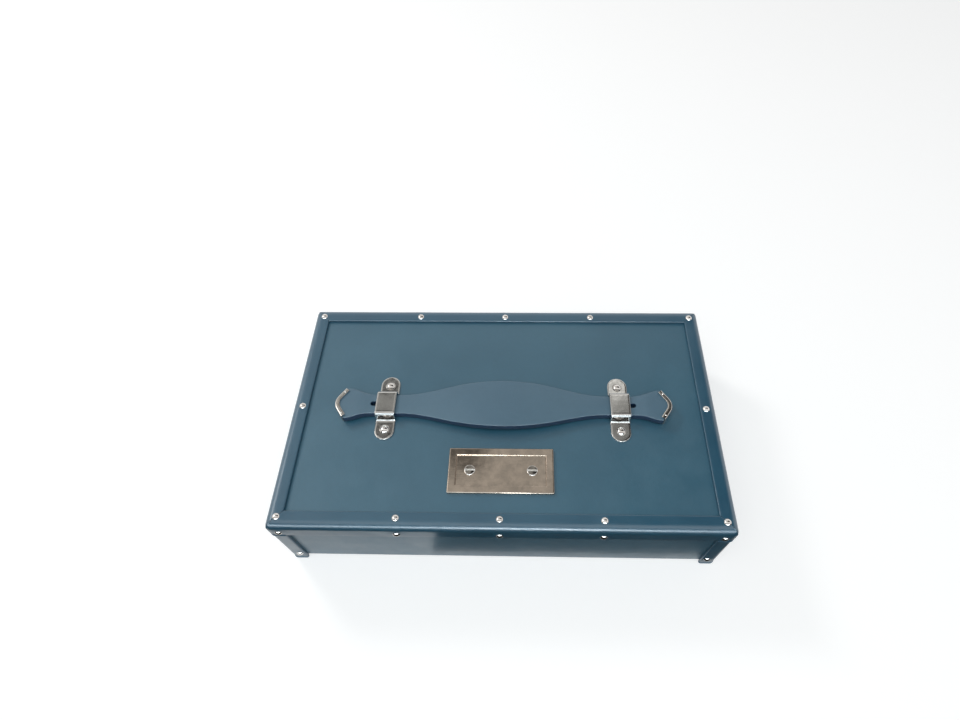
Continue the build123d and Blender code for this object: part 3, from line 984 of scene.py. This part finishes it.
loop_metal = 1.3 * mm
loop_wall_lean = 1.8 * mm
loop_bend_radius = 2.8 * mm
loop_foot_radius = 1.4 * mm
loop_edge_radius = 0.65 * mm
loop_inner_half = 9.7 * mm
loop_nail_radius = 4.2 * mm
loop_nail_dome = 2.4 * mm
loop_nail_rim = 0.4 * mm
loop_nail_sunk = 0.15 * mm
loop_nail_segments = 44
loop_dish = 0.08 * mm
loop_dish_reach = 5 * mm
loop_step = 1.2 * mm
tab_length = 8.3 * mm
tab_stations = (0.02, 0.08, 0.2, 0.4, 0.7, 1.1, 1.7, 2.5, 3.5, 4.7, 6.1, 7.5)
loop_shares = (-1, -0.99, -0.965, -0.92, -0.8, -0.5, -0.17, 0.17, 0.5, 0.8, 0.92, 0.965, 0.99, 1)

loop_nickel = nickel(
    "loop_nickel", (0.58, 0.57, 0.55), (0.52, 0.51, 0.49),
    0.09, 0.17, 9 * mm, 0.05 * mm, 0.004 * mm, (1, 9, 1),
)


def loop_skin(side):
    """A strip bent up, over the strap and down again, with a round-ended tab on each side."""
    low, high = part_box(f"handle_loop_{side}")
    middle_x = (low.x + high.x) / 2
    half_width = (high.x - low.x) / 2
    tab_top = low.z + loop_metal
    shoulder = loop_inner_half + loop_metal
    foot = shoulder + loop_wall_lean
    bend, foot_bend = loop_bend_radius, loop_foot_radius
    corners = (
        (low.y, tab_top), (-foot, tab_top), (-shoulder, high.z),
        (shoulder, high.z), (foot, tab_top), (high.y, tab_top),
    )
    line = rounded(corners, (0, foot_bend, bend, bend, foot_bend, 0), arc_steps=8)
    line = divided(line, loop_step)
    loop_nail_y = max(spot.y for spot in clusters(f"loop_nails_{side}"))
    tab_steps = [low.y + distance * mm for distance in tab_stations]
    inside = [point for point in line if abs(point.x) < high.y - tab_length]
    line = [Vector((y, tab_top)) for y in tab_steps] + inside
    line += [Vector((-y, tab_top)) for y in reversed(tab_steps)]
    rings = []
    for point, upward in zip(line, facings(line)):
        past = max(abs(point.x) - (high.y - half_width), 0)
        width = math.sqrt(max(half_width ** 2 - past ** 2, 0))
        top, under = [], []
        for share in loop_shares:
            x = share * width
            from_edge = half_width - math.hypot(x, past) if past else width - abs(x)
            drop = rolled(from_edge, loop_edge_radius)
            if abs(point.x) > foot:
                nail_distance = math.hypot(x, abs(point.x) - loop_nail_y)
                drop += loop_dish * math.exp(-(nail_distance / loop_dish_reach) ** 2)
            above = point - upward * drop
            below = point - upward * loop_metal
            top.append((middle_x + x, above.x, above.y))
            under.append((middle_x + x, below.x, below.y))
        rings.append(top + under[::-1])
    return skin(rings)


for side in ("left", "right"):
    loop = add_piece(f"{side}_saddle_loop", [loop_skin(side)], [loop_nickel])
    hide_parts(f"handle_loop_{side}")
    nail_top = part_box(f"loop_nails_{side}")[1].z
    profile = dome_profile(loop_nail_radius, loop_nail_dome, loop_nail_rim, loop_nail_sunk)
    heads = []
    for spot in clusters(f"loop_nails_{side}"):
        seat = Vector((spot.x, spot.y, nail_top - loop_nail_dome))
        heads.append(turned(profile, seat, (0, 0, 1), loop_nail_segments))
    nails = add_piece(f"{side}_loop_nail_heads", heads, [stud_nickel])
    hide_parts(f"loop_nails_{side}")
    for piece in (loop, nails):
        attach(piece, "lid")

# ---- label plate -----------------------------------------------------------------------------
# A bare nickel plate with a bevelled border raised round a flat floor, held by two slotted
# screws with domed heads.

label_border = 6.6 * mm
label_recess = 1.3 * mm
label_recess_slope = 0.47 * mm
label_corner_radius = 0.8 * mm
label_edge_radius = 0.9 * mm
label_lip_radius = 0.6 * mm
label_flat_margin = 0.25 * mm
label_lip_corner_radius = 0.3 * mm
label_slope_corner_radius = 0.25 * mm
label_floor_corner_radius = 0.2 * mm
screw_radius = 4.4 * mm
screw_height = 2.0 * mm
screw_dome = 0.4 * mm
screw_edge_radius = 0.8 * mm
screw_slot_width = 1.5 * mm
screw_slot_depth = 1.1 * mm
slot_cutter_half = 1.2 * screw_radius
slot_floor_margin = 0.05 * mm
screw_sunk = 0.02 * mm
screw_segments = 44
screw_shares = (0, 0.12, 0.25, 0.4, 0.55, 0.7, 0.85, 1)

label_nickel = nickel(
    "label_nickel", (0.51, 0.425, 0.35), (0.39, 0.33, 0.275),
    0.05, 0.11, 12 * mm, 0.05 * mm, 0.008 * mm, (12, 1, 1),
)
label_low, label_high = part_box("label_plate")
label_middle = (label_low + label_high) / 2


def label_ring(inset, height, radius):
    """A rounded rectangle round the plate, drawn in by an inset."""
    x = (label_high.x - label_low.x) / 2 - inset
    y = (label_high.y - label_low.y) / 2 - inset
    outline = rounded(((-x, -y), (x, -y), (x, y), (-x, y)), (radius,) * 4, 5, closed=True)
    return [(label_middle.x + p.x, label_middle.y + p.y, height) for p in outline]


top, bottom = label_high.z, label_low.z
floor_z = top - label_recess
label_rings = [label_ring(0, bottom, label_corner_radius)]
for angle in quarter:
    inset = label_edge_radius * (1 - math.cos(angle))
    height = top - label_edge_radius * (1 - math.sin(angle))
    label_rings.append(label_ring(inset, height, label_corner_radius))
lip_start = label_border - label_recess_slope - label_lip_radius
for inset in (label_edge_radius + label_flat_margin, lip_start - label_flat_margin):
    label_rings.append(label_ring(inset, top, label_corner_radius / 2))
for angle in quarter[:-1]:
    inset = lip_start + label_lip_radius * math.sin(angle)
    height = top - label_lip_radius * (1 - math.cos(angle))
    label_rings.append(label_ring(inset, height, label_lip_corner_radius))
for share in (0.35, 0.75, 1):
    inset = label_border - label_recess_slope * (1 - share)
    height = floor_z + (label_recess - label_lip_radius) * (1 - share) ** 2
    label_rings.append(label_ring(inset, height, label_slope_corner_radius))
inset = label_border + label_flat_margin
label_rings.append(label_ring(inset, floor_z, label_floor_corner_radius))
plate = add_piece("label_plate_dressed", [skin(label_rings)], [label_nickel], crisp=25)
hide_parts("label_plate")


def screw_head(spot):
    """A low domed head with a rounded edge, and its slot cut across it."""
    flat = screw_radius - screw_edge_radius
    ball = (flat ** 2 + screw_dome ** 2) / (2 * screw_dome)
    profile = []
    for share in screw_shares:
        radius = flat * share
        profile.append((radius, screw_height - ball + math.sqrt(ball ** 2 - radius ** 2)))
    side_top = profile[-1][1]
    for angle in quarter[1:]:
        out = flat + screw_edge_radius * math.sin(angle)
        profile.append((out, side_top - screw_edge_radius * (1 - math.cos(angle))))
    profile.append((screw_radius, -screw_sunk))
    blank = turned(profile, spot, (0, 0, 1), screw_segments)
    head = add_piece("screw_blank", [blank], [stud_nickel])
    half = Vector((slot_cutter_half, screw_slot_width / 2, screw_slot_depth))
    centre = spot + Vector((0, 0, screw_height))
    rings = []
    for x in (-half.x, half.x):
        ring = [(x, -half.y, -half.z), (x, half.y, -half.z), (x, half.y, half.z), (x, -half.y, half.z)]
        rings.append([centre + Vector(point) for point in ring])
    cutter = add_piece("slot_cutter", [skin(rings)], [])
    cut = head.modifiers.new("slot", "BOOLEAN")
    cut.object = cutter
    cut.operation = "DIFFERENCE"
    result = head.evaluated_get(bpy.context.evaluated_depsgraph_get()).to_mesh()
    corners = [vertex.co.copy() for vertex in result.vertices]
    faces = [tuple(face.vertices) for face in result.polygons]
    bpy.data.objects.remove(head)
    bpy.data.objects.remove(cutter)
    return corners, faces


# The tops of the screws are painted darker than their rounded edges, a painted shade in their
# reflection, and the floors of their slots are painted pale and matt, a painted highlight
screw_top_painted_shade = nickel(
    "screw_top_painted_shade", (0.30, 0.28, 0.25), (0.22, 0.20, 0.18), 0.10, 0.20, 3 * mm, 0.05 * mm, 0.005 * mm
)
slot_painted_highlight = nickel(
    "slot_painted_highlight", (0.92, 0.91, 0.88), (0.80, 0.78, 0.74), 0.45, 0.6, 3 * mm, 0, 0.01 * mm
)
screw_top_level = 0.96
heads = []
for spot in clusters("label_screws"):
    heads.append(screw_head(Vector((spot.x, spot.y, floor_z))))
screws = add_piece("label_screw_heads", heads, [stud_nickel, slot_painted_highlight, screw_top_painted_shade], crisp=30)
slot_floor = floor_z + screw_height - screw_slot_depth
for face in screws.data.polygons:
    # Slot floors take the painted highlight, and the tops the painted shade
    if abs(face.center.z - slot_floor) < slot_floor_margin:
        face.material_index = 1
    elif face.center.z > slot_floor and face.normal.z > screw_top_level:
        face.material_index = 2
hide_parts("label_screws")
for piece in (plate, screws):
    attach(piece, "lid")

# ---- boards, linings and tray ----------------------------------------------------------------
# Plywood boards carry the leather. The lid and the tray are lined with short-napped grey cloth,
# the tray is covered outside with thin leather, and felt under its base keeps it off the table.


ply_thickness = 1.3 * mm
fibre_width = 0.6 * mm
fibre_depth = 0.05 * mm
brushed_patch = 18 * mm
nap_depth = 0.25 * mm


def plywood():
    """Birch plywood: thin layers that differ in tone, with a fine grain along each."""
    material, tree, shader = new_material("plywood")
    layers = noise_field(tree, ply_thickness, 2.0, 0.4, (60, 60, 1))
    fibres = noise_field(tree, fibre_width, 4.0, 0.6, (30, 1, 1))
    wood = blended(tree, spread(tree, layers, 0.4, 0.6), (0.42, 0.27, 0.14), (0.60, 0.44, 0.27))
    wood = blended(tree, spread(tree, fibres, 0.4, 0.8, 0.0, 0.4), wood, (0.30, 0.18, 0.09))
    sanded = spread(tree, fibres, 0.3, 0.7, 0.55, 0.75)
    settle(tree, shader, {"Base Color": wood, "Roughness": sanded})
    raised(tree, shader, fibres, fibre_depth)
    return material


def napped(name, deep, pale, nap):
    """Cloth with a short nap that has been brushed this way and that."""
    material, tree, shader = new_material(name)
    brushed = noise_field(tree, brushed_patch, 3.0, 0.5)
    fuzz = noise_field(tree, nap, 4.0, 0.8)
    cloth = blended(tree, spread(tree, brushed, 0.35, 0.65), deep, pale)
    shade = spread(tree, fuzz, 0.35, 0.75, 0.0, 0.5)
    cloth = blended(tree, shade, cloth, tuple(0.5 * part for part in deep))
    settle(tree, shader, {"Base Color": cloth, "Roughness": 0.95, "Sheen Weight": 0.35})
    raised(tree, shader, fuzz, nap_depth)
    return material


plywood_material = plywood()
lining_cloth = napped("lining_cloth", (0.085, 0.090, 0.105), (0.125, 0.130, 0.148), 0.5 * mm)
felt = napped("felt", (0.010, 0.013, 0.018), (0.018, 0.022, 0.030), 0.8 * mm)
tray_leather = leather(
    "tray_leather", (0.008, 0.044, 0.078), (0.013, 0.056, 0.094), 0.42, 0.54, 0.03 * mm, 0.08 * mm, 0.02
)
finishes = {
    "base_felt": felt,
    "base_board": plywood_material,
    "tray_cover": tray_leather,
    "tray_floor_pad": lining_cloth,
    "lid_top_board": plywood_material,
    "lid_top_lining": lining_cloth,
}
for side in SIDES:
    finishes[f"lid_{side}_board"] = plywood_material
    finishes[f"lid_{side}_lining"] = lining_cloth
    finishes[f"tray_{side}_wall"] = plywood_material
    finishes[f"tray_{side}_lining"] = lining_cloth
for side in ("left", "right"):
    finishes[f"handle_pin_{side}"] = soft_nickel
for node, material in finishes.items():
    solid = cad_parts[node]
    solid.data.materials.clear()
    solid.data.materials.append(material)
